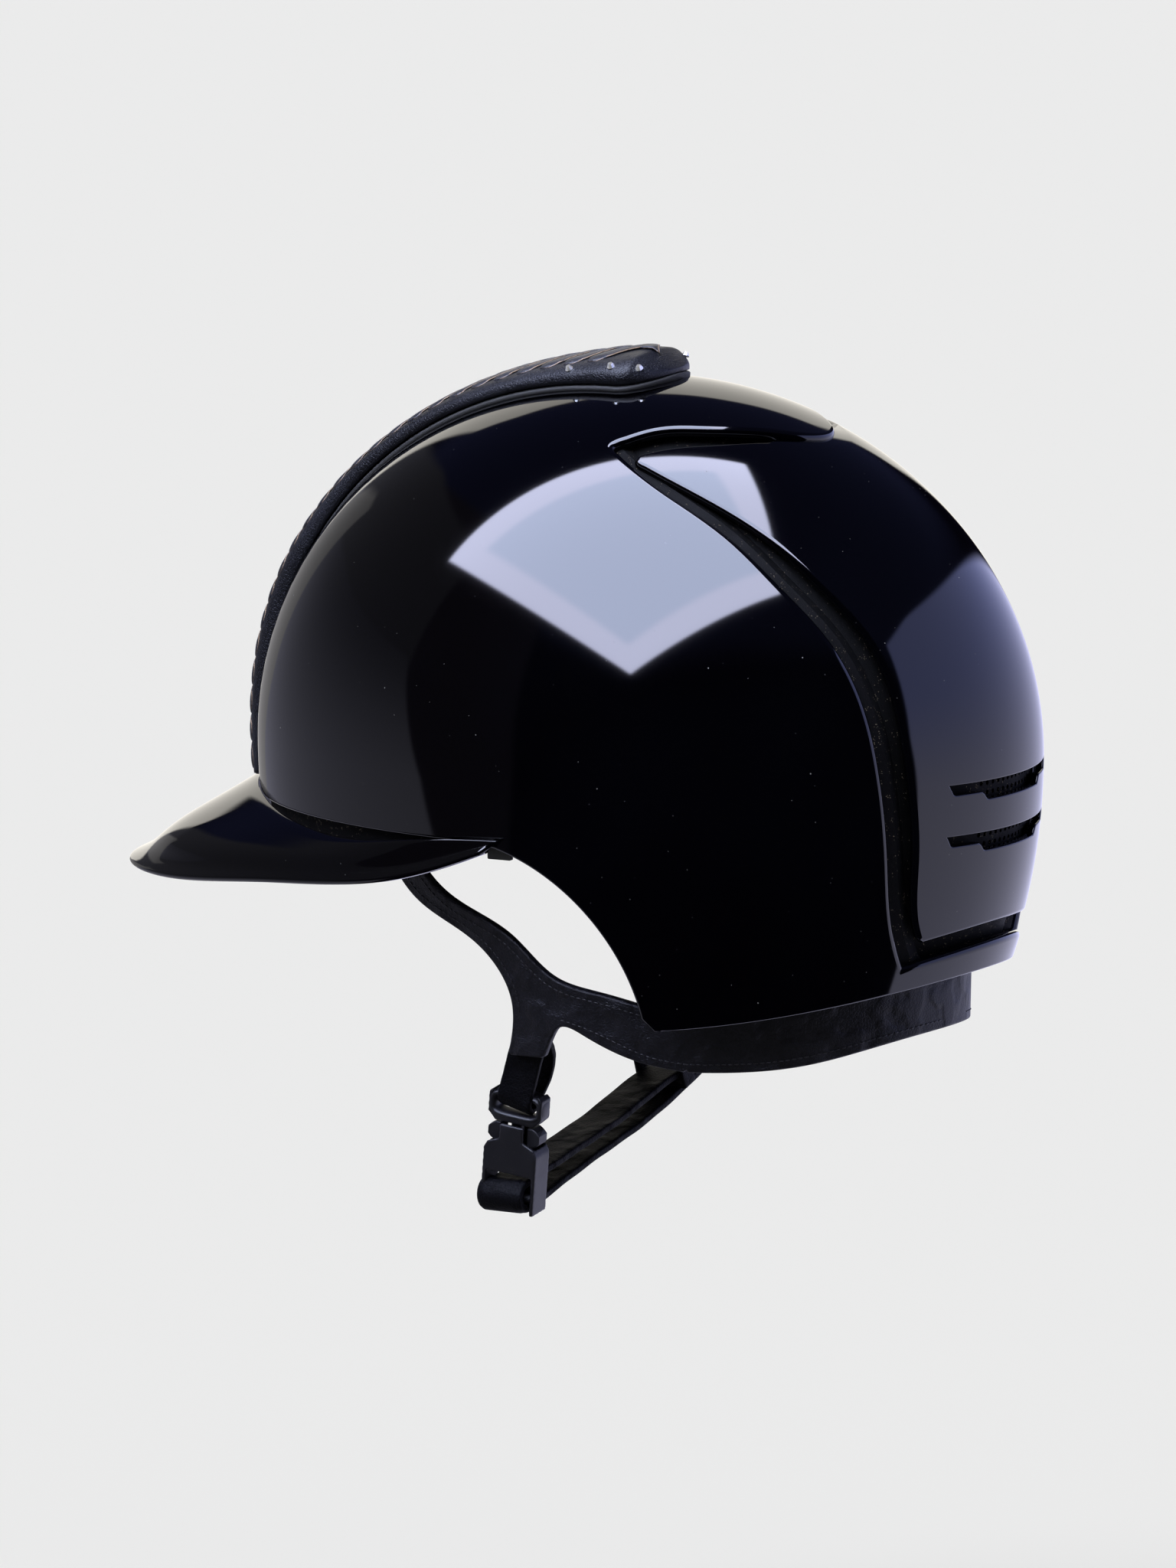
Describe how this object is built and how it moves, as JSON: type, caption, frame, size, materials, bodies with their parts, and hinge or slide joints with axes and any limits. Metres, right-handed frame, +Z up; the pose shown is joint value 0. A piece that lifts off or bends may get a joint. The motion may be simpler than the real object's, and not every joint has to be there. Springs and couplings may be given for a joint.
{
  "type": "riding helmet",
  "caption": "Hard riding helmet with a flared peak, raised leather crest, recessed rear vent panel, leather harness and side-release chin buckle.",
  "frame": {"origin": "centre of the wearer's head at ear level, on the left-right mirror plane of the shell", "axes": "-X is the front (peak), +Y the wearer's right, +Z up towards the crown"},
  "size_m": [0.3337, 0.2224, 0.2984],
  "materials": {
    "shell_gloss": "polished gloss black",
    "tray_matt": "matt black moulded",
    "trim_plastic": "satin black moulded",
    "leather": "soft black leather, fine grain",
    "crystal": "cut clear stone",
    "foam": "black expanded foam",
    "lining": "black lining cloth",
    "metal": "blackened steel",
    "buckle": "satin black moulded"
  },
  "bodies": {
    "helmet": {"outer_shell": "shell_gloss", "rear_panel": "shell_gloss", "vent_tray": "tray_matt", "rear_grille": "tray_matt", "peak": "shell_gloss", "peak_lining": "leather", "peak_clips": "tray_matt", "intake_mesh": "tray_matt", "crest_base": "trim_plastic", "crest_cover": "leather", "crest_braid": "leather", "crest_crystals": "crystal", "shock_liner": "foam", "crown_liner": "foam", "head_band": "lining", "crown_pad": "lining", "nape_pad": "lining", "liner_snaps": "metal", "harness_left": "leather", "harness_right": "leather", "nape_band": "leather", "nape_eyelets": "metal", "harness_anchors": "metal"},
    "chin": {"chin_leg_left": "leather", "chin_leg_right": "leather", "buckle_plug": "buckle"},
    "front_prong": {"prong_front": "buckle"},
    "rear_prong": {"prong_rear": "buckle"},
    "strap": {"buckle_socket": "buckle", "chin_strap": "leather", "strap_keeper": "leather"}
  },
  "joints": [
    {"name": "chin_swing", "type": "hinge", "parent": "helmet", "child": "chin", "pos_m": [-0.012, 0, -0.05], "axis": [0, 1, 0], "range_deg": [-20, 40]},
    {"name": "front_prong_press", "type": "hinge", "parent": "chin", "child": "front_prong", "pos_m": [-0.02702, -0.0599, -0.08308], "axis": [-0.0182, -0.9914, -0.1293], "range_deg": [0, 8], "stiffness_Nm_per_rad": 0.05},
    {"name": "rear_prong_press", "type": "hinge", "parent": "chin", "child": "rear_prong", "pos_m": [-0.01474, -0.0599, -0.08481], "axis": [0.0182, 0.9914, 0.1293], "range_deg": [0, 8], "stiffness_Nm_per_rad": 0.05},
    {"name": "buckle_release", "type": "slide", "parent": "chin", "child": "strap", "axis": [-0.138, 0.1305, -0.9818], "range_m": [0, 0.022], "deforming": ["prong_front", "prong_rear"]}
  ],
  "couplings": [
    {"joint": "rear_prong_press", "follows": "front_prong_press", "ratio": 1}
  ]
}
